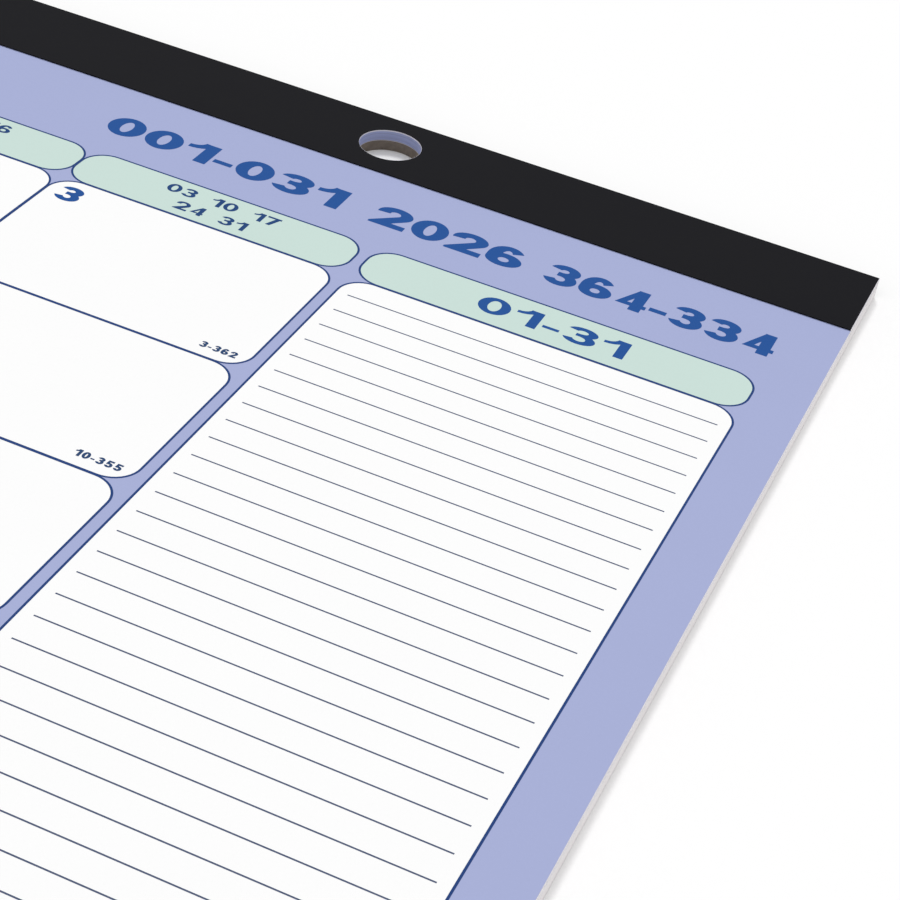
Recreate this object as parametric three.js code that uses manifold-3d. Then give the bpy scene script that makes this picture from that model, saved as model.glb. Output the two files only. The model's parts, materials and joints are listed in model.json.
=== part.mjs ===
// A desk pad calendar: twelve tear-off month sheets on a stiff chipboard back, bound under a black
// strip along the far edge. Millimetres, +Z up. X runs across the pad, +Y points to the bound edge,
// and Z = 0 is the desk. Each sheet is cut in two by its line of perforations: a stub that stays
// under the strip, and a leaf that turns over the strip or tears off.

import * as THREE from "three";
import { mergeVertices } from "three/addons/utils/BufferGeometryUtils.js";
import Module from "manifold-3d";

const wasm = await Module();
wasm.setup();

// Driving sizes
const padWidth = 558.8;
const padDepth = 431.8;
const sheetCount = 12;
const sheetThickness = 0.13;
const boardThickness = 2.5;
const stripWidth = 25.4;
const stripThickness = 0.25;
const glueThickness = 0.2;
const holeDiameter = 14.0;
const holeFromSide = 110.6;
const holeFromBoundEdge = 12.7;

// Clearances
const sheetGap = 0.05;
const glueGap = 0.05;
const perforationSlit = 0.2;
const flangeLift = 0.3;

// Roundness
const holeSegments = 48;
const foldSegments = 8;

// Places that follow from the sizes
const boundEdge = padDepth / 2;
const frontEdge = -padDepth / 2;
const stripFront = boundEdge - stripWidth;
const glueSpace = glueThickness + 2 * glueGap;
const stackEdge = boundEdge - stripThickness - glueSpace;
const leafBack = stripFront - perforationSlit;
const sheetPitch = sheetThickness + sheetGap;
const stackBottom = boardThickness + sheetGap;
const stripUnderside = stackBottom + sheetCount * sheetPitch;
const foldZ = stripUnderside - glueSpace;
const holeX = padWidth / 2 - holeFromSide;
const holeY = boundEdge - holeFromBoundEdge;

// Colours
const materials = {
  chipboard: new THREE.MeshStandardMaterial({ color: 0x8f8478, roughness: 0.95, metalness: 0 }),
  paper: new THREE.MeshStandardMaterial({ color: 0xa9b0d8, roughness: 0.8, metalness: 0 }),
  strip: new THREE.MeshStandardMaterial({ color: 0x26262a, roughness: 0.55, metalness: 0 }),
  glue: new THREE.MeshStandardMaterial({ color: 0xe6e2d6, roughness: 0.4, metalness: 0 }),
};

// The two hanging holes, punched through everything under the strip
function holeOutlines(OutlineClass) {
  return [-holeX, holeX].map((x) => {
    const outline = new OutlineClass();
    outline.absarc(x, holeY, holeDiameter / 2, 0, 2 * Math.PI, false);
    return outline;
  });
}

// A rectangle on the pad, from one Y to another, over the full width
function bandOutline(front, back) {
  const side = padWidth / 2;
  const outline = new THREE.Shape();
  outline.moveTo(-side, front);
  outline.lineTo(side, front);
  outline.lineTo(side, back);
  outline.lineTo(-side, back);
  outline.closePath();
  return outline;
}

function extrude(outlines, depth, curveSegments) {
  return new THREE.ExtrudeGeometry(outlines, { depth, bevelEnabled: false, curveSegments });
}

// A flat layer of the pad, lying on its own height
function layer(name, material, front, back, bottom, thickness, punched) {
  const outline = bandOutline(front, back);
  if (punched) {
    outline.holes.push(...holeOutlines(THREE.Path));
  }
  const mesh = new THREE.Mesh(extrude(outline, thickness, holeSegments), material);
  mesh.name = name;
  mesh.position.z = bottom;
  return mesh;
}

function toManifold(geometry) {
  const bare = geometry.clone();
  bare.deleteAttribute("normal");
  bare.deleteAttribute("uv");
  const merged = mergeVertices(bare, 1e-4);
  return new wasm.Manifold(
    new wasm.Mesh({
      numProp: 3,
      vertProperties: new Float32Array(merged.attributes.position.array),
      triVerts: new Uint32Array(merged.index.array),
    }),
  );
}

function toGeometry(manifold) {
  const mesh = manifold.getMesh();
  const geometry = new THREE.BufferGeometry();
  geometry.setAttribute("position", new THREE.BufferAttribute(mesh.vertProperties, 3));
  geometry.setIndex(new THREE.BufferAttribute(mesh.triVerts, 1));
  return geometry;
}

// The strip's section in Y and Z: a flap on the top sheet, a rounded fold about the stack's edge,
// and a flange that covers the bound edge down to just above the desk
function stripSection() {
  const section = new THREE.Shape();
  section.moveTo(stripFront, stripUnderside);
  section.lineTo(stackEdge, stripUnderside);
  section.absarc(stackEdge, foldZ, glueSpace, Math.PI / 2, 0, true);
  section.lineTo(boundEdge - stripThickness, flangeLift);
  section.lineTo(boundEdge, flangeLift);
  section.lineTo(boundEdge, foldZ);
  section.absarc(stackEdge, foldZ, glueSpace + stripThickness, 0, Math.PI / 2, false);
  section.lineTo(stripFront, stripUnderside + stripThickness);
  section.closePath();
  return section;
}

function bindingStrip() {
  const alongX = new THREE.Matrix4().makeBasis(
    new THREE.Vector3(0, 1, 0),
    new THREE.Vector3(0, 0, 1),
    new THREE.Vector3(1, 0, 0),
  );
  const band = extrude(stripSection(), padWidth, foldSegments).applyMatrix4(alongX);
  band.translate(-padWidth / 2, 0, 0);
  const punch = extrude(holeOutlines(THREE.Shape), 3 * stripUnderside, holeSegments);
  const mesh = new THREE.Mesh(
    toGeometry(toManifold(band).subtract(toManifold(punch))),
    materials.strip,
  );
  mesh.name = "binding_strip";
  return mesh;
}

// Cold padding glue that holds the stack's edge to the strip's flange
function paddingGlue() {
  const front = stackEdge + glueGap;
  const back = front + glueThickness;
  return layer("padding_glue", materials.glue, front, back, flangeLift, foldZ - flangeLift, false);
}

// The sheets, numbered from the top of the stack: the first month lies uppermost
function sheets() {
  const parts = [];
  for (let number = 1; number <= sheetCount; number += 1) {
    const label = String(number).padStart(2, "0");
    const bottom = stackBottom + (sheetCount - number) * sheetPitch;
    parts.push(
      layer(`stub_${label}`, materials.paper, stripFront, stackEdge, bottom, sheetThickness, true),
      layer(`leaf_${label}`, materials.paper, frontEdge, leafBack, bottom, sheetThickness, false),
    );
  }
  return parts;
}

const deskPad = new THREE.Group();
deskPad.add(
  layer("backing_board", materials.chipboard, frontEdge, stackEdge, 0, boardThickness, true),
  bindingStrip(),
  paddingGlue(),
  ...sheets(),
);

export default deskPad;
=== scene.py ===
# A desk pad calendar: twelve month pages under a black binding strip, on a chipboard back.
# Metres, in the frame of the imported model. X runs across the pad, +Y points to the bound edge, and
# Z = 0 is the desk.

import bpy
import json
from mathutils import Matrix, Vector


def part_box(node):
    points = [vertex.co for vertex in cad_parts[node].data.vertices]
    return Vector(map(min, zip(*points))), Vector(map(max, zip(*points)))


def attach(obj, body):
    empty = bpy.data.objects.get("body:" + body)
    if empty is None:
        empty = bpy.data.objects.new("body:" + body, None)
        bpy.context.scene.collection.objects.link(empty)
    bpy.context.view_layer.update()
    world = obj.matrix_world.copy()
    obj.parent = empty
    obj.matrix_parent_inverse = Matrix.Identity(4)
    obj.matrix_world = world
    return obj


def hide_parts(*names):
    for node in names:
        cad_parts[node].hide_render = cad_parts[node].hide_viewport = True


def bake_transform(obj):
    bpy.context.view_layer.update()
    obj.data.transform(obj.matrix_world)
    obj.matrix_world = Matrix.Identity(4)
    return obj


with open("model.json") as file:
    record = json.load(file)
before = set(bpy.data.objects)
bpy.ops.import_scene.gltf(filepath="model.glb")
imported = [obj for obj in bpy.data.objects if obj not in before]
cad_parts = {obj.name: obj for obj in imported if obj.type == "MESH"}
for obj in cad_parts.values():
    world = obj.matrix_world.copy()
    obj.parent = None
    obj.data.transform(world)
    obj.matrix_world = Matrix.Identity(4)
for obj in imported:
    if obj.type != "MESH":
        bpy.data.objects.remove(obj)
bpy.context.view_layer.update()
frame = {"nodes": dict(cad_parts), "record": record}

import calendar
import json
import math

import bmesh
import bpy
import numpy as np
from mathutils import Matrix, Vector
from mathutils.geometry import delaunay_2d_cdt

bl_info = {
    "name": "Desk pad calendar",
    "version": (1, 0, 0),
    "blender": (4, 5, 0),
    "location": "3D View > Sidebar > Desk pad",
    "description": "Prints and finishes a month-per-sheet desk pad on its packed frame",
    "category": "Object",
}

# Places that follow from the frame
strip_low, strip_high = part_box("binding_strip")
leaf_names = sorted(name for name in frame["nodes"] if name.startswith("leaf_"))
stub_names = sorted(name for name in frame["nodes"] if name.startswith("stub_"))
half_width = strip_high.x
strip_front = strip_low.y
pad_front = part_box(leaf_names[0])[0].y
sheet_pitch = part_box(leaf_names[0])[1].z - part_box(leaf_names[1])[1].z
hole_box = next(
    opening["box_m"]
    for opening in frame["record"]["physics"]["openings"]
    if opening["name"] == "hanging_hole_right"
)
hole_centre = tuple((low + high) / 2 for low, high in zip(*hole_box))

# Heights of the ink above the paper, each a little over the last, so that no two faces coincide
FIELD_LIFT = 6e-6
INK_LIFTS = (12e-6, 18e-6)

# How much of the air under a sheet its paper takes up
SHEET_SINK = 3e-5

# A sheet's rows where it bends and beyond, and the flat margin between the bend and the title
BEND_ROWS = 16
FLAT_ROWS = 5
BEND_MARGIN = 0.001

# Thickness of the pale liner on the board
LINER_THICKNESS = 1e-4

# How far a mask of cut faces reaches past them, and a depth that no face of the pad reaches
CUT_MARGIN = 3e-5
PAST_THE_PAD = 1.0

# Order of the materials on a sheet, and of the inks printed on it
PRINTED_SIDE, PLAIN_SIDE, CUT_SIDE = range(3)
FIELD, MINT, TITLE, TEXT, COUNT, OUTLINE, RULE = range(7)

# Counts of the calendar
DAYS_IN_WEEK = 7
MONTHS_IN_YEAR = 12

# The header numerals' places, as shares of their pill: the drop from its top to the foot of each line,
# and the lines' middle from its left end
HEADER_LINE_DROPS = (0.418, 0.817)
HEADER_MIDDLE = 0.51
NOTES_LINE_DROP = 0.72
NOTES_MIDDLE = 0.497

# The first ruled line's drop from the top of the notes, and the least room under the last, in spacings
FIRST_RULE_DROP = 1.04
LAST_RULE_ROOM = 0.5

# A small month's number, as shares of its header's height: the numerals' height, and their foot
SMALL_NUMBER_CAP = 0.44
SMALL_NUMBER_FOOT = 0.28

# A small month's dates: how many columns and rows its box has room for, margins included, and where the
# first date's right side and foot stand among them
SMALL_COLUMNS = 7.6
SMALL_ROWS = 6.4
FIRST_DATE_RIGHT = 1.15
FIRST_DATE_FOOT = 0.95

# Steps round a corner of a large and of a small box, and the largest radius as a share of its height
CORNER_STEPS = 10
SMALL_CORNER_STEPS = 5
LARGEST_RADIUS = 0.45

# A text's start, as the share of its length that lies left of the given place
ALIGNMENTS = {"LEFT": 0.0, "CENTER": 0.5, "RIGHT": 1.0}

# Finish of the paper and its inks: grain size, roughness, height of the tooth and specular level
PAPER_GRAIN = 0.0006
PAPER_ROUGHNESS = 0.8
PAPER_TOOTH = 0.2
PAPER_SPECULAR = 0.15


# Settings that a user would change


def linear(red, green, blue):
    """The linear colour of a written one: each channel over 255, then the sRGB curve undone."""
    level = np.array([red, green, blue]) / 255
    return tuple(np.where(level <= 0.04045, level / 12.92, ((level + 0.055) / 1.055) ** 2.4).tolist())


def length(name, default, description):
    """A size in metres."""
    return bpy.props.FloatProperty(
        name=name, description=description, default=default, unit="LENGTH", precision=5, min=0.0
    )


def colour(name, written, description):
    """A colour, written as red, green and blue up to 255."""
    return bpy.props.FloatVectorProperty(
        name=name,
        description=description,
        default=linear(*written),
        subtype="COLOR",
        size=3,
        min=0.0,
        max=1.0,
    )


def angle(name, degrees, description):
    """An angle, written in degrees."""
    return bpy.props.FloatProperty(
        name=name, description=description, default=math.radians(degrees), subtype="ANGLE", unit="ROTATION"
    )


def share(name, default, description, top=1.0):
    """A plain number from 0 to its top."""
    return bpy.props.FloatProperty(
        name=name, description=description, default=default, subtype="FACTOR", min=0.0, max=top
    )


class DeskPadLayout(bpy.types.PropertyGroup):
    """Sizes of the printed page."""

    year: bpy.props.IntProperty(name="Year", description="Year that the pad is for", default=2026, min=1)
    side_margin: length("Side margin", 0.01095, "Lilac border left and right of the boxes")
    title_drop: length("Title drop", 0.01204, "From the strip to the top of the title")
    title_cap: length("Title height", 0.00855, "Height of the title's numerals")
    day_span_start: length("Day span start", 0.15410, "From the notes' right side back to the year's days")
    day_span_width: length("Day span width", 0.05670, "Length of the year's days in the title")
    year_start: length("Year start", 0.09000, "From the notes' right side back to the year")
    year_width: length("Year width", 0.03400, "Length of the year in the title")
    days_left_start: length("Days left start", 0.05080, "From the notes' right side back to the days left")
    days_left_width: length("Days left width", 0.05010, "Length of the days left in the title")
    header_drop: length("Header drop", 0.02930, "From the strip to the top of the header pills")
    header_height: length("Header height", 0.01408, "Height of a header pill")
    row_height: length("Row height", 0.04313, "Height of a week's row of cells")
    row_count: bpy.props.IntProperty(
        name="Rows", description="Rows of cells on a page", default=6, min=5, max=6
    )
    notes_width: length("Notes width", 0.08344, "Width of the notes column")
    notes_gap: length("Notes gap", 0.00230, "Lilac gap between the days and the notes")
    corner_radius: length("Corner radius", 0.00575, "Radius of the boxes' corners")
    hole_radius: length("Hole radius", 0.00700, "Radius of the punched hanging holes")
    outline_width: length("Outline width", 0.00046, "Width of the boxes' outlines")
    outline_overhang: length("Outline overhang", 0.00010, "How far an outline reaches past its box")
    rule_pitch: length("Ruled spacing", 0.00650, "From one ruled line to the next")
    rule_width: length("Ruled line width", 0.00034, "Width of a ruled line")
    rule_inset: length("Ruled line inset", 0.00268, "From the notes box's side to the lines' ends")
    header_cap: length("Header numerals", 0.00350, "Height of the numerals in a day's header")
    notes_cap: length("Notes numerals", 0.00653, "Height of the numerals in the notes' header")
    notes_title_width: length("Notes numerals width", 0.03200, "Length of the numerals in the notes' header")
    date_cap: length("Date height", 0.00600, "Height of a date")
    date_inset: length("Date inset", 0.00270, "From a cell's left and top to its date")
    count_cap: length("Day count height", 0.00208, "Height of the day counts at the cells' feet")
    count_inset: length("Day count inset", 0.00285, "From a cell's right and foot to its day count")
    year_gap: length("Year table gap", 0.00800, "From the days to the small months at the foot")
    year_header: length("Small header", 0.00760, "Height of a small month's header")
    year_cap: length("Small date height", 0.00250, "Height of the small months' numerals")


class DeskPadColours(bpy.types.PropertyGroup):
    """Colours of the inks, the paper and the binding."""

    lilac: colour("Lilac", (168, 176, 215), "Ground that is printed to the sheet's edges")
    field: colour("Field", (253, 253, 253), "Unprinted white of the cells and notes")
    mint: colour("Mint", (203, 224, 217), "Header pills")
    title: colour("Title ink", (31, 82, 153), "Title, dates and the notes' numerals")
    text: colour("Text ink", (32, 69, 123), "Numerals of the day headers and the small months")
    count: colour("Day count ink", (44, 72, 114), "Day counts at the cells' feet")
    outline: colour("Outline ink", (36, 66, 124), "Boxes' outlines")
    rule: colour("Ruled line ink", (80, 91, 119), "Ruled lines of the notes")
    sheet_back: colour("Sheet back", (246, 246, 244), "Unprinted back of a sheet")
    sheet_edge: colour("Sheet edge", (246, 242, 243), "Cut edge of a sheet")
    board: colour("Board", (128, 118, 108), "Chipboard of the back")
    # Painted light: the board's outer sides are painted near white, as if brightly lit, while the punched
    # hole walls keep the board's darker colour
    board_edge: colour("Board edge", (245, 241, 242), "Outer cut edge of the chipboard")
    liner: colour("Liner", (200, 196, 202), "Pale paper between the chipboard and the sheets")
    strip: colour("Strip", (17, 17, 22), "Black binding tape")
    strip_core: colour("Strip core", (228, 226, 238), "Cut edge of the binding tape")
    glue: colour("Glue", (226, 221, 208), "Dried padding glue")


class DeskPadStudio(bpy.types.PropertyGroup):
    """Camera and light."""

    azimuth: angle("Azimuth", 17.1409, "Camera's turn about the vertical, from the front to the right")
    elevation: angle("Elevation", 34.8044, "Camera's height as an angle over the desk")
    roll: angle("Roll", 10.1203, "Turn of the picture about the line of sight")
    distance: length("Distance", 0.40558, "From the camera to the point that it looks at")
    lens: bpy.props.FloatProperty(
        name="Lens", description="Focal length on a 36 mm sensor", default=89.52, unit="CAMERA"
    )
    target: bpy.props.FloatVectorProperty(
        name="Target",
        description="Point on the top page that the camera looks at",
        default=(0.22579, 0.103126, 0.00466),
        subtype="XYZ",
        unit="LENGTH",
    )
    sky: share("Sky", 0.71, "Brightness of the even light from all around", 4.0)
    lamp: share("Lamp", 1.047, "Strength of the soft lamp", 20.0)
    lamp_size: angle("Lamp size", 13.5, "How wide the lamp looks from the pad, which softens its shadow")
    lamp_tilt: angle("Lamp tilt", 29.5, "How far the lamp stands from overhead")
    lamp_turn: angle("Lamp turn", 114.0, "The lamp's side: 0 is the right, 90 the back and 180 the left")
    floor_glow: share("Floor glow", 0.05, "Light that the camera alone sees on the floor")


# Numerals, drawn with a flat pen in a box one unit high


def band(centre, reach, pen, start, end, steps):
    """Quads between two ellipses about one centre, whose radii are the reach plus and minus the pen. They
    run from one angle in degrees to another, with the given steps to a full turn and three at least. Gives
    the quads, and the inner and the outer point that they end on."""
    count = max(3, round(steps * abs(end - start) / 360))
    turn = np.radians(np.linspace(start, end, count + 1))
    ray = np.stack([np.cos(turn), np.sin(turn)], 1)
    outer = centre + ray * (reach + pen)
    inner = centre + ray * (reach - pen)
    return list(np.stack([inner[:-1], outer[:-1], outer[1:], inner[1:]], 1)), inner[-1], outer[-1]


def block(left, low, right, high):
    """The four corners of an upright rectangle."""
    return np.array([(left, low), (right, low), (right, high), (left, high)])


def slant(low_x, low_y, high_x, high_y, pen):
    """A sloping stroke with level ends, whose half width square to the stroke is the pen. Along its ends the
    half width is the pen times the stroke's length over its rise."""
    half = pen * math.hypot(high_x - low_x, high_y - low_y) / (high_y - low_y)
    foot = [(low_x - half, low_y), (low_x + half, low_y)]
    head = [(high_x + half, high_y), (high_x - half, high_y)]
    return np.array(foot + head)


def numeral_strokes(sign, pen, width, steps):
    """Overlapping strokes of one numeral, in heights of the numeral: elliptical bands for its bowls, and
    blocks and slants for the rest. The pen is half a stroke's thickness."""
    middle = width / 2
    thick = 2 * pen

    def bowl(low, high, start, end, narrowing=1.0):
        """A band that fills the width between two heights, its middle line a pen's width inside them."""
        centre = np.array([middle, (low + high) / 2])
        reach = np.array([(middle - pen) * narrowing, (high - low) / 2 - pen])
        return band(centre, reach, pen, start, end, steps)

    if sign == "0":
        return bowl(0, 1, 0, 360)[0]
    if sign == "1":
        stem = 0.66 * width
        flag_centre = np.array([0.02, 1.06])
        flag_reach = np.array([0.5 * width, 0.36])
        flag = band(flag_centre, flag_reach, 0.8 * pen, -90, -10, steps)[0]
        return [block(stem - pen, 0, stem + pen, 1)] + flag
    if sign == "2":
        bowl_foot = 0.37
        top, inner, outer = bowl(bowl_foot, 1, 190, -36)
        heel = (0, 0.8 * pen)
        knee = (0.58 * width, thick)
        spine = np.array([outer, inner, heel, knee])
        foot = np.array([(0, 0), (width, 0), (width, thick), knee, heel])
        return top + [spine, foot]
    if sign == "3":
        waist = 0.535
        upper_narrowing = 0.92
        tongue_tip = 0.34 * width
        tongue_pen = 0.9 * pen
        upper = bowl(waist - pen, 1, 165, -90, upper_narrowing)[0]
        lower = bowl(0, waist + pen, 90, -165)[0]
        return upper + lower + [block(tongue_tip, waist - tongue_pen, middle, waist + tongue_pen)]
    if sign == "4":
        bar_low = 0.19
        bar_high = bar_low + 1.5 * pen
        stem = width - 1.6 * pen
        back = slant(1.15 * pen, bar_low, stem - 0.25 * pen, 1, 0.62 * pen)
        # The bar's left end follows the slope of the back
        start = back[0][0]
        lean = (back[3][0] - start) / (1 - bar_low) * (bar_high - bar_low)
        bar = np.array([(start, bar_low), (width, bar_low), (width, bar_high), (start + lean, bar_high)])
        return [bar, block(stem - pen, 0, stem + pen, 1), back]
    if sign == "5":
        bowl_top = 0.68
        back_foot = 0.43
        back = slant(0.06 * width + pen, back_foot, 0.15 * width + pen, 1, 0.85 * pen)
        flag = block(0.17 * width, 1 - thick, 0.94 * width, 1)
        return [flag, back] + bowl(0, bowl_top, 142, -165)[0]
    if sign == "6":
        bowl_top = 0.63
        side = block(0, 0.32, 1.4 * pen, 0.5)
        return bowl(0, bowl_top, 0, 360)[0] + bowl(0, 1, 38, 190)[0] + [side]
    if sign == "7":
        return [block(0, 1 - thick, width, 1), slant(0.38 * width, 0, width - 1.25 * pen, 1, pen)]
    if sign == "8":
        waist = 0.545
        upper_narrowing = 0.9
        return bowl(waist - pen, 1, 0, 360, upper_narrowing)[0] + bowl(0, waist + pen, 0, 360)[0]
    if sign == "9":
        return [[width, 1] - stroke for stroke in numeral_strokes("6", pen, width, steps)]
    if sign == "-":
        height = 0.34
        half = 0.8 * pen
        return [block(0, height - half, 0.52 * width, height + half)]
    raise RuntimeError(f"no numeral is drawn for {sign!r}")


def joined(strokes):
    """One flat mesh from overlapping strokes: what lies inside any stroke, in as few triangles as it
    takes."""
    least_area = 1e-7
    merge_distance = 1e-5
    straight_angle = 0.02
    corners = []
    for stroke in strokes:
        for step in range(1, len(stroke) - 1):
            triangle = [Vector(stroke[0]), Vector(stroke[step]), Vector(stroke[step + 1])]
            area = (triangle[1] - triangle[0]).cross(triangle[2] - triangle[0])
            if abs(area) > least_area:
                corners.extend(triangle if area > 0 else triangle[::-1])
    triangles = np.arange(len(corners)).reshape(-1, 3).tolist()
    # Output kind 1 keeps only the triangles that lie inside a stroke, and owners names those strokes
    points, _, loops, _, _, owners = delaunay_2d_cdt(corners, [], triangles, 1, merge_distance, True)
    flat = bmesh.new()
    made = [flat.verts.new((point.x, point.y, 0)) for point in points]
    for loop, owner in zip(loops, owners):
        if owner:
            flat.faces.new([made[corner] for corner in loop])
    loose = [vert for vert in flat.verts if not vert.link_faces]
    bmesh.ops.delete(flat, geom=loose, context="VERTS")
    bmesh.ops.dissolve_limit(flat, angle_limit=straight_angle, verts=flat.verts, edges=flat.edges)
    bmesh.ops.triangulate(flat, faces=flat.faces)
    flat.verts.index_update()
    points = np.array([vert.co[:2] for vert in flat.verts])
    loops = np.array([[vert.index for vert in face.verts] for face in flat.faces])
    flat.free()
    return points, loops


def numeral_style(pen, width, stretch, steps, gap, space=0.85):
    """All the numerals of one weight. Each sign has its points, stretched along the line, its triangles, and
    its advance, which is how far it reaches. The gap stands between signs, and a space is a share of a
    numeral's width."""
    style = {"gap": gap, " ": space * width * stretch}
    for sign in "0123456789-":
        points, loops = joined(numeral_strokes(sign, pen, width, steps))
        advance = points[:, 0].max()
        style[sign] = (points * [stretch, 1], loops, advance * stretch)
    return style


# Flat shapes of the print


def rounded_box(left, low, right, high, radius, steps):
    """Points round a box anticlockwise: four quarter circles about the corners' centres."""
    turn = np.linspace(0, np.pi / 2, steps + 1) + np.pi / 2 * np.arange(4)[:, None]
    centre_x = np.array([right - radius, left + radius, left + radius, right - radius])[:, None]
    centre_y = np.array([high - radius, high - radius, low + radius, low + radius])[:, None]
    return np.stack([centre_x + radius * np.cos(turn), centre_y + radius * np.sin(turn)], -1).reshape(-1, 2)


class Ink:
    """Flat faces that lie on a page, gathered shape by shape and made into one mesh at the end."""

    def __init__(self):
        self.points = []
        self.lifts = []
        self.loops = []
        self.inks = []
        self.count = 0

    def add(self, points, loops, ink, lift):
        """Adds a shape in one ink at one lift; its loops count from the shape's own first point."""
        self.loops += [[corner + self.count for corner in loop] for loop in loops]
        self.inks += [ink] * len(loops)
        self.points.append(points)
        self.lifts.append(np.full(len(points), lift))
        self.count += len(points)

    def add_ink(self, other):
        """Adds everything of another layer of ink, as it stands."""
        self.loops += [[corner + self.count for corner in loop] for loop in other.loops]
        self.inks += other.inks
        self.points += other.points
        self.lifts += other.lifts
        self.count += other.count

    def box(self, left, low, right, high, ink, layout, lift_choice, steps=CORNER_STEPS):
        """A filled box with rounded corners, and a ring of quads round it as its outline, which reaches a
        little past the box. Neighbours' outlines overlap, so they take different lifts."""
        radius = min(layout.corner_radius, LARGEST_RADIUS * (high - low))
        filled = rounded_box(left, low, right, high, radius, steps)
        self.add(filled, [list(range(len(filled)))], ink, FIELD_LIFT)
        past = layout.outline_overhang
        inside = layout.outline_width - past
        outer = rounded_box(left - past, low - past, right + past, high + past, radius + past, steps)
        inner = rounded_box(
            left + inside, low + inside, right - inside, high - inside, radius - inside, steps
        )
        count = len(outer)
        step = np.arange(count)
        following = (step + 1) % count
        loops = np.stack([step, following, count + following, count + step], 1).tolist()
        self.add(np.concatenate([outer, inner]), loops, OUTLINE, INK_LIFTS[lift_choice])

    def text(self, style, words, cap, x, baseline, align="LEFT", width=None, ink=TEXT):
        """Numerals on a line. Their natural length is the cap height times the sum of their advances and
        the gaps between them, and a given width stretches them to fill it."""
        sizes = [style[sign] if sign == " " else style[sign][2] for sign in words]
        natural = cap * (sum(sizes) + style["gap"] * (len(words) - 1))
        stretch = width / natural if width else 1.0
        start = x - ALIGNMENTS[align] * natural * stretch
        for sign, size in zip(words, sizes):
            if sign != " ":
                points, loops, _ = style[sign]
                placed = points * [cap * stretch, cap] + [start, baseline]
                self.add(placed, loops.tolist(), ink, INK_LIFTS[0])
            start += cap * stretch * (size + style["gap"])

    def build(self, name, paper_top, materials):
        """One object of all the shapes, with every point its lift above the paper."""
        points = np.concatenate(self.points)
        heights = paper_top + np.concatenate(self.lifts)
        mesh = bpy.data.meshes.new(name)
        mesh.from_pydata(np.column_stack([points, heights]).tolist(), [], self.loops)
        for material in materials:
            mesh.materials.append(material)
        mesh.polygons.foreach_set("material_index", self.inks)
        mesh.update()
        printed = bpy.data.objects.new(name, mesh)
        bpy.context.scene.collection.objects.link(printed)
        return printed


class Month:
    """A month's weeks, each seven dates with 0 where a day belongs to another month, and the days of the
    year that it runs from and to."""

    def __init__(self, year, number):
        self.weeks = calendar.Calendar(calendar.SUNDAY).monthdayscalendar(year, number)
        self.length = calendar.monthrange(year, number)[1]
        self.first_day = sum(calendar.monthrange(year, before)[1] for before in range(1, number)) + 1
        self.last_day = self.first_day + self.length - 1
        self.days_in_year = 366 if calendar.isleap(year) else 365


class PageGrid:
    """Where a page's boxes stand. The day columns share the width that the margins, the notes and their gap
    leave, and the rows of cells follow each other down from the header pills."""

    def __init__(self, layout):
        self.right = half_width - layout.side_margin
        self.notes_left = self.right - layout.notes_width
        self.day_width = (self.notes_left - layout.notes_gap + self.right) / DAYS_IN_WEEK
        self.header_top = strip_front - layout.header_drop
        self.cells_top = self.header_top - layout.header_height
        self.cells_foot = self.cells_top - layout.row_count * layout.row_height


def print_title(ink, layout, grid, month, style):
    """The month's days of the year, the year, and the days that are left after them."""
    baseline = strip_front - layout.title_drop - layout.title_cap
    day_span = f"{month.first_day:03d}-{month.last_day:03d}"
    days_left = f"{month.days_in_year - month.first_day:03d}-{month.days_in_year - month.last_day:03d}"
    groups = [
        (day_span, layout.day_span_start, layout.day_span_width),
        (str(layout.year), layout.year_start, layout.year_width),
        (days_left, layout.days_left_start, layout.days_left_width),
    ]
    for words, start, width in groups:
        ink.text(style, words, layout.title_cap, grid.right - start, baseline, width=width, ink=TITLE)


def print_day_headers(ink, layout, grid, month, style):
    """A pill over each day column, with the column's dates on two lines."""
    for column in range(DAYS_IN_WEEK):
        left = column * grid.day_width - grid.right
        ink.box(left, grid.cells_top, left + grid.day_width, grid.header_top, MINT, layout, column % 2)
        dates = [f"{week[column]:02d}" for week in month.weeks if week[column]]
        half = (len(dates) + 1) // 2
        middle = left + HEADER_MIDDLE * grid.day_width
        for words, drop in zip((dates[:half], dates[half:]), HEADER_LINE_DROPS):
            line = grid.header_top - drop * layout.header_height
            ink.text(style, " ".join(words), layout.header_cap, middle, line, "CENTER")


def print_cells(ink, layout, grid, month, date_style, count_style):
    """The cells, each with its date at the top left, and at its foot the day of the year and the days
    left."""
    for row in range(layout.row_count):
        for column in range(DAYS_IN_WEEK):
            left = column * grid.day_width - grid.right
            right = left + grid.day_width
            top = grid.cells_top - row * layout.row_height
            foot = top - layout.row_height
            ink.box(left, foot, right, top, FIELD, layout, (row + column + 1) % 2)
            day = month.weeks[row][column] if row < len(month.weeks) else 0
            if not day:
                continue
            date_line = top - layout.date_inset - layout.date_cap
            ink.text(date_style, str(day), layout.date_cap, left + layout.date_inset, date_line, ink=TITLE)
            number = month.first_day + day - 1
            words = f"{number}-{month.days_in_year - number}"
            count_right = right - layout.count_inset
            count_line = foot + layout.count_inset
            ink.text(count_style, words, layout.count_cap, count_right, count_line, "RIGHT", ink=COUNT)


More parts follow.
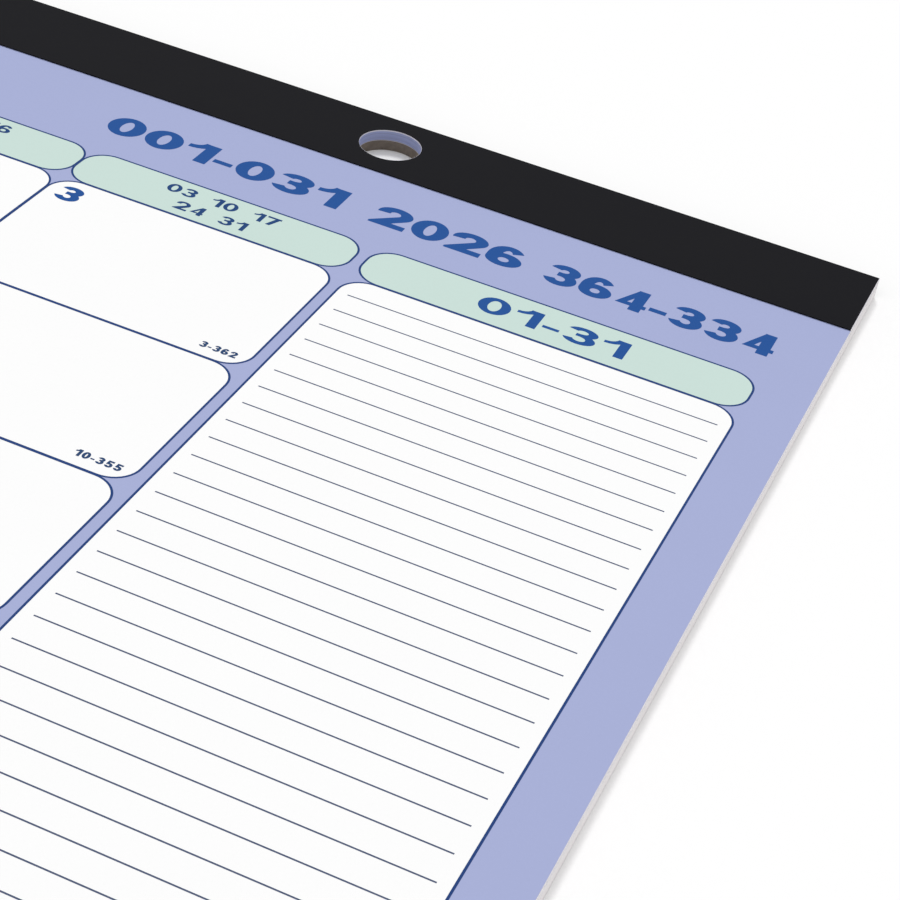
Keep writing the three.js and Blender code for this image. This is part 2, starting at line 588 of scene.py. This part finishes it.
def print_notes(ink, layout, grid, month, style):
    """The notes column: a pill with the month's first and last dates, over a box of ruled lines."""
    ink.box(grid.notes_left, grid.cells_top, grid.right, grid.header_top, MINT, layout, 0)
    ink.box(grid.notes_left, grid.cells_foot, grid.right, grid.cells_top, FIELD, layout, 1)
    ink.text(
        style,
        f"01-{month.length}",
        layout.notes_cap,
        grid.notes_left + NOTES_MIDDLE * layout.notes_width,
        grid.header_top - NOTES_LINE_DROP * layout.header_height,
        "CENTER",
        width=layout.notes_title_width,
        ink=TITLE,
    )
    left = grid.notes_left + layout.rule_inset
    right = grid.right - layout.rule_inset
    half = layout.rule_width / 2
    rule = grid.cells_top - FIRST_RULE_DROP * layout.rule_pitch
    while rule > grid.cells_foot + LAST_RULE_ROOM * layout.rule_pitch:
        ink.add(block(left, rule - half, right, rule + half), [[0, 1, 2, 3]], RULE, INK_LIFTS[0])
        rule -= layout.rule_pitch


def year_table(layout, style, low, high):
    """The small months at a page's foot: two rows of six boxes, each with its number over its dates. A
    date's place is its column and row times the pitches that the box's room gives."""
    table = Ink()
    columns = 6
    rows = MONTHS_IN_YEAR // columns
    width = 2 * (half_width - layout.side_margin) / columns
    height = (high - low) / rows
    number_cap = SMALL_NUMBER_CAP * layout.year_header
    day_pitch = width / SMALL_COLUMNS
    week_pitch = (height - layout.year_header) / SMALL_ROWS
    for number in range(1, MONTHS_IN_YEAR + 1):
        row, column = divmod(number - 1, columns)
        left = -half_width + layout.side_margin + column * width
        top = high - row * height
        header_foot = top - layout.year_header
        lift_choice = (row + column) % 2
        table.box(left, header_foot, left + width, top, MINT, layout, lift_choice, SMALL_CORNER_STEPS)
        table.box(
            left, top - height, left + width, header_foot, FIELD, layout, 1 - lift_choice, SMALL_CORNER_STEPS
        )
        baseline = header_foot + SMALL_NUMBER_FOOT * layout.year_header
        table.text(style, f"{number:02d}", number_cap, left + width / 2, baseline, "CENTER")
        for week, days in enumerate(Month(layout.year, number).weeks):
            line = header_foot - (week + FIRST_DATE_FOOT) * week_pitch
            for weekday, day in enumerate(days):
                if day:
                    x = left + (weekday + FIRST_DATE_RIGHT) * day_pitch
                    table.text(style, str(day), layout.year_cap, x, line, "RIGHT")
    return table


def sheet_mesh(name, low, high, bend_reach):
    """A sheet of paper. Its profile in Y and Z runs along the top from the back to the front and returns
    along the underside, with close rows over the reach where it bends. It is carried along X, with a strip
    of quads as a cap at either end."""
    bend = np.linspace(high.y, high.y - bend_reach, BEND_ROWS)
    flat = np.linspace(high.y - bend_reach, low.y, FLAT_ROWS)[1:]
    rows = np.concatenate([bend, flat])
    count = len(rows)
    top = np.column_stack([rows, np.full(count, high.z)])
    underside = np.column_stack([rows[::-1], np.full(count, low.z)])
    profile = np.concatenate([top, underside])
    ends = [np.column_stack([np.full(2 * count, x), profile]) for x in (low.x, high.x)]
    step = np.arange(2 * count)
    following = (step + 1) % (2 * count)
    around = np.stack([step, following, 2 * count + following, 2 * count + step], 1)
    row = np.arange(count - 1)
    cap = np.stack([row, row + 1, 2 * count - 2 - row, 2 * count - 1 - row], 1)
    faces = np.concatenate([around, cap[:, ::-1], cap + 2 * count])
    sides = np.full(len(faces), CUT_SIDE)
    sides[: count - 1] = PRINTED_SIDE
    sides[count : 2 * count - 1] = PLAIN_SIDE
    mesh = bpy.data.meshes.new(name)
    mesh.from_pydata(np.concatenate(ends).tolist(), [], faces.tolist())
    mesh.polygons.foreach_set("material_index", sides)
    mesh.update()
    return mesh


# Materials


def add_node(tree, kind, inputs=None, **settings):
    """Adds a node, sets its settings, and fills or links its inputs."""
    node = tree.nodes.new(kind)
    for name, value in settings.items():
        setattr(node, name, value)
    for key, value in (inputs or {}).items():
        if isinstance(value, bpy.types.NodeSocket):
            tree.links.new(value, node.inputs[key])
        else:
            node.inputs[key].default_value = value
    return node


def maths(tree, operation, *values):
    """The result of an operation on one to three values, each a socket or a number."""
    return add_node(tree, "ShaderNodeMath", dict(enumerate(values)), operation=operation).outputs[0]


def vector_maths(tree, operation, *values):
    """The vector that an operation on one or two vectors gives, each a socket or three numbers."""
    return add_node(tree, "ShaderNodeVectorMath", dict(enumerate(values)), operation=operation).outputs[0]


def scaled(tree, vector, scale):
    """A vector or a colour times a number."""
    inputs = {0: vector, "Scale": scale}
    return add_node(tree, "ShaderNodeVectorMath", inputs, operation="SCALE").outputs[0]


def ranged(tree, value, from_low, from_high, to_low=0.0, to_high=1.0):
    """A value carried from one range to another, and held at its ends."""
    inputs = {
        "Value": value,
        "From Min": from_low,
        "From Max": from_high,
        "To Min": to_low,
        "To Max": to_high,
    }
    return add_node(tree, "ShaderNodeMapRange", inputs).outputs[0]


def noise(tree, position, scale, detail):
    """Soft noise from 0 to 1 over the position."""
    inputs = {"Vector": position, "Scale": scale, "Detail": detail}
    return add_node(tree, "ShaderNodeTexNoise", inputs).outputs[0]


def full_colour(given):
    """A colour's socket as it is, or a linear colour with an alpha of 1."""
    return given if isinstance(given, bpy.types.NodeSocket) else (*given, 1.0)


def mixed_colour(tree, mask, first, second):
    """The first colour where the mask is 0 and the second where it is 1; each is a socket or linear. The Mix
    node has its colours at inputs 6 and 7, and their mix at output 2."""
    inputs = {0: mask, 6: full_colour(first), 7: full_colour(second)}
    return add_node(tree, "ShaderNodeMix", inputs, data_type="RGBA").outputs[2]


def new_group(name, inputs, outputs):
    """An empty shader node group with named sockets, each given as its name, kind and default."""
    group = bpy.data.node_groups.new(name, "ShaderNodeTree")
    for socket, kind, default in inputs:
        made = group.interface.new_socket(name=socket, in_out="INPUT", socket_type="NodeSocket" + kind)
        if default is not None:
            made.default_value = default
    for socket, kind in outputs:
        group.interface.new_socket(name=socket, in_out="OUTPUT", socket_type="NodeSocket" + kind)
    return group, group.nodes.new("NodeGroupInput").outputs, group.nodes.new("NodeGroupOutput")


def fine_grain():
    """The tooth of paper, tape and board: fine noise plus slow clouds, less their mean of 1. Times the
    mottling it shades the colour, and times the roughness change it is added to the roughness. The fine
    noise alone is the height."""
    group = bpy.data.node_groups.get("fine_grain")
    if group:
        return group
    inputs = [
        ("Colour", "Color", (0.8, 0.8, 0.8, 1.0)),
        ("Position", "Vector", None),
        ("Grain size", "Float", 0.0005),
        ("Mottling", "Float", 0.02),
        ("Roughness", "Float", 0.7),
        ("Roughness change", "Float", 0.1),
    ]
    outputs = [("Colour", "Color"), ("Roughness", "Float"), ("Height", "Float")]
    group, given, out = new_group("fine_grain", inputs, outputs)
    clouds_per_grain = 0.03
    pitch = maths(group, "DIVIDE", 1.0, given["Grain size"])
    cloud_pitch = maths(group, "MULTIPLY", pitch, clouds_per_grain)
    fine = noise(group, given["Position"], pitch, detail=2.0)
    cloud = noise(group, given["Position"], cloud_pitch, detail=3.0)
    change = maths(group, "SUBTRACT", maths(group, "ADD", fine, cloud), 1.0)
    tint = maths(group, "MULTIPLY_ADD", change, given["Mottling"], 1.0)
    rough = maths(group, "MULTIPLY_ADD", change, given["Roughness change"], given["Roughness"])
    group.links.new(scaled(group, given["Colour"], tint), out.inputs["Colour"])
    group.links.new(rough, out.inputs["Roughness"])
    group.links.new(fine, out.inputs["Height"])
    return group


def cut_faces():
    """Masks of the faces that a blade or a punch cut: the pad's outer sides, where X or Y reaches the half
    width or depth, and the walls of its holes, within the hole's radius of either hole's centre."""
    group = bpy.data.node_groups.get("cut_faces")
    if group:
        return group
    inputs = [
        ("Position", "Vector", None),
        ("Half width", "Float", half_width),
        ("Half depth", "Float", -pad_front),
        ("Hole centre", "Vector", hole_centre),
        ("Hole radius", "Float", None),
    ]
    group, given, out = new_group("cut_faces", inputs, [("Sides", "Float"), ("Holes", "Float")])
    away = vector_maths(group, "ABSOLUTE", given["Position"])
    apart = add_node(group, "ShaderNodeSeparateXYZ", {0: away}).outputs
    past_x = maths(group, "GREATER_THAN", apart["X"], given["Half width"])
    past_y = maths(group, "GREATER_THAN", apart["Y"], given["Half depth"])
    offset = vector_maths(group, "SUBTRACT", away, given["Hole centre"])
    level = vector_maths(group, "MULTIPLY", offset, (1.0, 1.0, 0.0))
    reach = add_node(group, "ShaderNodeVectorMath", {0: level}, operation="LENGTH").outputs["Value"]
    group.links.new(maths(group, "MAXIMUM", past_x, past_y), out.inputs["Sides"])
    group.links.new(maths(group, "LESS_THAN", reach, given["Hole radius"]), out.inputs["Holes"])
    return group


def cut_masks(tree, position, half_depth=PAST_THE_PAD):
    """The cut faces' masks on one piece, each a little past the face so that the whole face is in it."""
    inputs = {
        "Position": position,
        "Half width": half_width - CUT_MARGIN,
        "Half depth": half_depth - CUT_MARGIN,
        "Hole centre": hole_centre,
        "Hole radius": bpy.context.scene.desk_pad_layout.hole_radius + CUT_MARGIN,
    }
    return add_node(tree, "ShaderNodeGroup", inputs, node_tree=cut_faces()).outputs


def new_finish(name, specular):
    """A material, its tree, its Principled shader at a specular level, and the piece's own coordinates."""
    material = bpy.data.materials.new(name)
    material.use_nodes = True
    tree = material.node_tree
    shader = tree.nodes["Principled BSDF"]
    shader.inputs["Specular IOR Level"].default_value = specular
    position = tree.nodes.new("ShaderNodeTexCoord").outputs["Object"]
    return material, tree, shader, position


def grain_on(tree, shader, position, colour, size, mottling, roughness, bump):
    """Wires a colour, which is a socket or linear, through the grain group to the shader. The tooth is a
    tenth of a grain high."""
    inputs = {
        "Colour": full_colour(colour),
        "Position": position,
        "Grain size": size,
        "Mottling": mottling,
        "Roughness": roughness,
        "Roughness change": 0.08,
    }
    grain = add_node(tree, "ShaderNodeGroup", inputs, node_tree=fine_grain())
    relief = {"Strength": bump, "Distance": 0.1 * size, "Height": grain.outputs["Height"]}
    tooth = add_node(tree, "ShaderNodeBump", relief)
    tree.links.new(grain.outputs["Colour"], shader.inputs["Base Color"])
    tree.links.new(grain.outputs["Roughness"], shader.inputs["Roughness"])
    tree.links.new(tooth.outputs[0], shader.inputs["Normal"])


def paper(name, colour, mottling=0.03):
    """Uncoated paper or ink on it: a fine tooth and very slow, faint clouds."""
    material, tree, shader, position = new_finish(name, PAPER_SPECULAR)
    grain_on(tree, shader, position, colour, PAPER_GRAIN, mottling, PAPER_ROUGHNESS, PAPER_TOOTH)
    return material


def bound_paper(colours):
    """The stubs: lilac where the punch cut the stack, a little lighter or darker from sheet to sheet, and
    pale at the pad's sides."""
    material, tree, shader, position = new_finish("bound_paper", PAPER_SPECULAR)
    height = add_node(tree, "ShaderNodeSeparateXYZ", {0: position}).outputs["Z"]
    sheet = maths(tree, "DIVIDE", height, sheet_pitch)
    inputs = {"W": sheet, "Scale": 1.0, "Detail": 0.0}
    layers = add_node(tree, "ShaderNodeTexNoise", inputs, noise_dimensions="1D").outputs[0]
    shade = ranged(tree, layers, from_low=0.3, from_high=0.7, to_low=0.85, to_high=1.15)
    lilac = scaled(tree, colours.lilac, shade)
    sides = cut_masks(tree, position)["Sides"]
    colour = mixed_colour(tree, sides, lilac, colours.sheet_edge)
    mottling = 0.04
    grain_on(tree, shader, position, colour, PAPER_GRAIN, mottling, PAPER_ROUGHNESS, PAPER_TOOTH)
    return material


def chipboard(colours, board_low, board_high):
    """Grey-brown board: long soft fibres, dark flecks, its outer cut sides painted near white as if brightly
    lit (painted light), and a pale liner on top.
    """
    fibre_squeeze = (1.0, 0.28, 1.0)
    fibre_scale = 900.0
    fleck_scale = 420.0
    fleck_edge = 0.16
    fleck_core = 0.08
    fibre_shade = 0.8
    fleck_shade = 0.62
    painted_light_cover = 0.96
    material, tree, shader, position = new_finish("chipboard", specular=0.1)
    squeezed = add_node(tree, "ShaderNodeMapping", {"Vector": position, "Scale": fibre_squeeze}).outputs[0]
    fibres = noise(tree, squeezed, fibre_scale, detail=4.0)
    fleck_inputs = {"Vector": position, "Scale": fleck_scale}
    flecks = add_node(tree, "ShaderNodeTexVoronoi", fleck_inputs).outputs["Distance"]
    fibre_mask = ranged(tree, fibres, from_low=0.35, from_high=0.7)
    fleck_mask = ranged(tree, flecks, from_low=fleck_edge, from_high=fleck_core)
    height = add_node(tree, "ShaderNodeSeparateXYZ", {0: position}).outputs["Z"]
    liner = maths(tree, "GREATER_THAN", height, board_high.z - LINER_THICKNESS)
    sides = cut_masks(tree, position, -board_low.y)["Sides"]
    board = np.array(colours.board)
    fibrous = mixed_colour(tree, fibre_mask, fibre_shade * board, board)
    flecked = mixed_colour(tree, fleck_mask, fibrous, fleck_shade * board)
    lined = mixed_colour(tree, liner, flecked, colours.liner)
    # Painted light: on the outer sides a pale colour stands in for light falling on them, and the hole walls
    # keep the board's own colour
    colour = mixed_colour(tree, maths(tree, "MULTIPLY", sides, painted_light_cover), lined, colours.board_edge)
    grain_on(tree, shader, position, colour, size=0.0008, mottling=0.08, roughness=0.9, bump=0.4)
    return material


def binding_tape(colours):
    """Matte black tape with a fine grain, and its pale core where it is cut or punched."""
    material, tree, shader, position = new_finish("binding_tape", specular=0.05)
    masks = cut_masks(tree, position)
    cut = maths(tree, "MAXIMUM", masks["Sides"], masks["Holes"])
    colour = mixed_colour(tree, cut, colours.strip, colours.strip_core)
    grain_on(tree, shader, position, colour, size=0.0004, mottling=0.25, roughness=0.6, bump=0.25)
    return material


def dried_glue(colours):
    """Padding glue, faintly glossy and uneven."""
    material, tree, shader, position = new_finish("dried_glue", specular=0.4)
    grain_on(tree, shader, position, colours.glue, size=0.002, mottling=0.1, roughness=0.4, bump=0.5)
    return material


def dress(node_name, material):
    """Gives a CAD node its material."""
    node = frame["nodes"].get(node_name)
    if node is None:
        raise RuntimeError(f"the frame has no node {node_name}")
    node.data.materials.clear()
    node.data.materials.append(material)


# Operators, one for each group of like pieces


class DESKPAD_OT_board(bpy.types.Operator):
    """Finishes the chipboard back"""

    bl_idname = "deskpad.board"
    bl_label = "Finish the board"

    def execute(self, context):
        low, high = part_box("backing_board")
        dress("backing_board", chipboard(context.scene.desk_pad_colours, low, high))
        return {"FINISHED"}


class DESKPAD_OT_binding(bpy.types.Operator):
    """Finishes the black strip and the glue behind it"""

    bl_idname = "deskpad.binding"
    bl_label = "Finish the binding"

    def execute(self, context):
        colours = context.scene.desk_pad_colours
        dress("binding_strip", binding_tape(colours))
        dress("padding_glue", dried_glue(colours))
        return {"FINISHED"}


class DESKPAD_OT_stubs(bpy.types.Operator):
    """Finishes the bound ends of the sheets"""

    bl_idname = "deskpad.stubs"
    bl_label = "Finish the stubs"

    def execute(self, context):
        material = bound_paper(context.scene.desk_pad_colours)
        for name in stub_names:
            dress(name, material)
        return {"FINISHED"}


class DESKPAD_OT_pages(bpy.types.Operator):
    """Makes the sheets, with close rows near the strip"""

    bl_idname = "deskpad.pages"
    bl_label = "Make the sheets"

    def execute(self, context):
        colours = context.scene.desk_pad_colours
        materials = (
            paper("lilac_ground", colours.lilac),
            paper("sheet_back", colours.sheet_back),
            paper("sheet_edge", colours.sheet_edge, mottling=0.1),
        )
        bend_reach = context.scene.desk_pad_layout.title_drop - BEND_MARGIN
        for name in leaf_names:
            low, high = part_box(name)
            low.z -= SHEET_SINK
            page_name = name.replace("leaf", "page")
            page = bpy.data.objects.new(page_name, sheet_mesh(page_name, low, high, bend_reach))
            for material in materials:
                page.data.materials.append(material)
            context.scene.collection.objects.link(page)
            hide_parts(name)
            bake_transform(page)
        return {"FINISHED"}


class DESKPAD_OT_print_months(bpy.types.Operator):
    """Prints each sheet with its month"""

    bl_idname = "deskpad.print_months"
    bl_label = "Print the months"

    def execute(self, context):
        layout = context.scene.desk_pad_layout
        colours = context.scene.desk_pad_colours
        inks = [
            paper("white_field", colours.field, mottling=0.015),
            paper("mint_field", colours.mint, mottling=0.02),
            paper("title_ink", colours.title, mottling=0.05),
            paper("text_ink", colours.text, mottling=0.05),
            paper("count_ink", colours.count, mottling=0.05),
            paper("outline_ink", colours.outline, mottling=0.05),
            paper("ruled_line_ink", colours.rule, mottling=0.05),
        ]
        heavy = numeral_style(pen=0.105, width=0.60, stretch=1.5, steps=32, gap=0.08)
        wide = numeral_style(pen=0.088, width=0.58, stretch=1.55, steps=24, gap=0.12)
        medium = numeral_style(pen=0.115, width=0.58, stretch=1.25, steps=18, gap=0.12)
        small = numeral_style(pen=0.085, width=0.55, stretch=1.1, steps=10, gap=0.12)
        grid = PageGrid(layout)
        table = year_table(layout, small, pad_front + layout.side_margin, grid.cells_foot - layout.year_gap)
        for number, name in enumerate(leaf_names, 1):
            month = Month(layout.year, number)
            ink = Ink()
            print_title(ink, layout, grid, month, heavy)
            print_day_headers(ink, layout, grid, month, wide)
            print_cells(ink, layout, grid, month, heavy, medium)
            print_notes(ink, layout, grid, month, wide)
            ink.add_ink(table)
            printed = ink.build(name.replace("leaf", "print"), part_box(name)[1].z, inks)
            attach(printed, name)
        return {"FINISHED"}


class DESKPAD_OT_studio(bpy.types.Operator):
    """Sets the white floor, the even sky, the soft lamp and the camera"""

    bl_idname = "deskpad.studio"
    bl_label = "Set the studio"

    def execute(self, context):
        studio = context.scene.desk_pad_studio
        self.floor(studio)
        self.light(studio)
        self.camera(studio)
        context.scene.view_settings.view_transform = "Standard"
        return {"FINISHED"}

    def floor(self, studio):
        """A wide white square just under the desk's height, which shows the pad's shadow. The camera alone
        sees a little glow on it, so it lights nothing."""
        reach = 3.0
        below = -5e-5
        white = (1.0, 1.0, 1.0, 1.0)
        near_white = (0.95, 0.95, 0.95, 1.0)
        front = [(-reach, -reach, below), (reach, -reach, below)]
        back = [(reach, reach, below), (-reach, reach, below)]
        mesh = bpy.data.meshes.new("floor")
        mesh.from_pydata(front + back, [], [(0, 1, 2, 3)])
        floor = bpy.data.objects.new("floor", mesh)
        bpy.context.scene.collection.objects.link(floor)
        material, tree, shader, _ = new_finish("floor", specular=0.0)
        shader.inputs["Base Color"].default_value = near_white
        shader.inputs["Roughness"].default_value = 1.0
        shader.inputs["Emission Color"].default_value = white
        path = tree.nodes.new("ShaderNodeLightPath")
        glow = maths(tree, "MULTIPLY", path.outputs["Is Camera Ray"], studio.floor_glow)
        tree.links.new(glow, shader.inputs["Emission Strength"])
        mesh.materials.append(material)

    def light(self, studio):
        """An even white sky, which the camera sees at full white, and a soft lamp tilted away from
        overhead."""
        world = bpy.data.worlds.new("studio")
        bpy.context.scene.world = world
        world.use_nodes = True
        tree = world.node_tree
        background = tree.nodes["Background"]
        background.inputs["Color"].default_value = (1.0, 1.0, 1.0, 1.0)
        path = tree.nodes.new("ShaderNodeLightPath")
        seen = ranged(tree, path.outputs["Is Camera Ray"], 0.0, 1.0, to_low=studio.sky, to_high=1.0)
        tree.links.new(seen, background.inputs["Strength"])
        lamp = bpy.data.lights.new("lamp", "SUN")
        lamp.energy = studio.lamp
        lamp.angle = studio.lamp_size
        hung = bpy.data.objects.new("lamp", lamp)
        hung.rotation_euler = (0.0, studio.lamp_tilt, studio.lamp_turn)
        bpy.context.scene.collection.objects.link(hung)

    def camera(self, studio):
        """The camera looks along minus back, from back times the distance past the target, and is rolled."""
        flat = math.cos(studio.elevation)
        back = Vector(
            (math.sin(studio.azimuth) * flat, -math.cos(studio.azimuth) * flat, math.sin(studio.elevation))
        )
        right = Vector((math.cos(studio.azimuth), math.sin(studio.azimuth), 0.0))
        up = back.cross(right)
        across = right * math.cos(studio.roll) + up * math.sin(studio.roll)
        upright = up * math.cos(studio.roll) - right * math.sin(studio.roll)
        camera = bpy.data.cameras.new("camera")
        camera.sensor_width = 36.0
        camera.lens = studio.lens
        camera.clip_start = 0.01
        view = bpy.data.objects.new("camera", camera)
        place = Matrix((across, upright, back)).transposed().to_4x4()
        place.translation = Vector(studio.target) + back * studio.distance
        view.matrix_world = place
        bpy.context.scene.collection.objects.link(view)
        bpy.context.scene.camera = view


class DESKPAD_PT_panel(bpy.types.Panel):
    """Lists the pad's operators and settings"""

    bl_idname = "DESKPAD_PT_panel"
    bl_label = "Desk pad"
    bl_space_type = "VIEW_3D"
    bl_region_type = "UI"
    bl_category = "Desk pad"

    def draw(self, context):
        for operator in operators:
            self.layout.operator(operator.bl_idname)
        for settings_name in settings_kinds:
            settings = getattr(context.scene, settings_name)
            box = self.layout.box()
            for name in settings.bl_rna.properties.keys():
                if name not in ("rna_type", "name"):
                    box.prop(settings, name)


settings_kinds = {
    "desk_pad_layout": DeskPadLayout,
    "desk_pad_colours": DeskPadColours,
    "desk_pad_studio": DeskPadStudio,
}
operators = (
    DESKPAD_OT_board,
    DESKPAD_OT_binding,
    DESKPAD_OT_stubs,
    DESKPAD_OT_pages,
    DESKPAD_OT_print_months,
    DESKPAD_OT_studio,
)


def register():
    """Registers the classes, and puts each group of settings on the scene."""
    for kind in (*settings_kinds.values(), *operators, DESKPAD_PT_panel):
        bpy.utils.register_class(kind)
    for name, kind in settings_kinds.items():
        setattr(bpy.types.Scene, name, bpy.props.PointerProperty(type=kind))


def unregister():
    """Takes the settings and the classes away again."""
    for name in settings_kinds:
        delattr(bpy.types.Scene, name)
    for kind in (DESKPAD_PT_panel, *reversed(operators), *settings_kinds.values()):
        bpy.utils.unregister_class(kind)


def main():
    """Makes the whole pad and its studio."""
    register()
    bpy.ops.deskpad.board()
    bpy.ops.deskpad.binding()
    bpy.ops.deskpad.stubs()
    bpy.ops.deskpad.pages()
    bpy.ops.deskpad.print_months()
    bpy.ops.deskpad.studio()


if __name__ == "__main__":
    main()
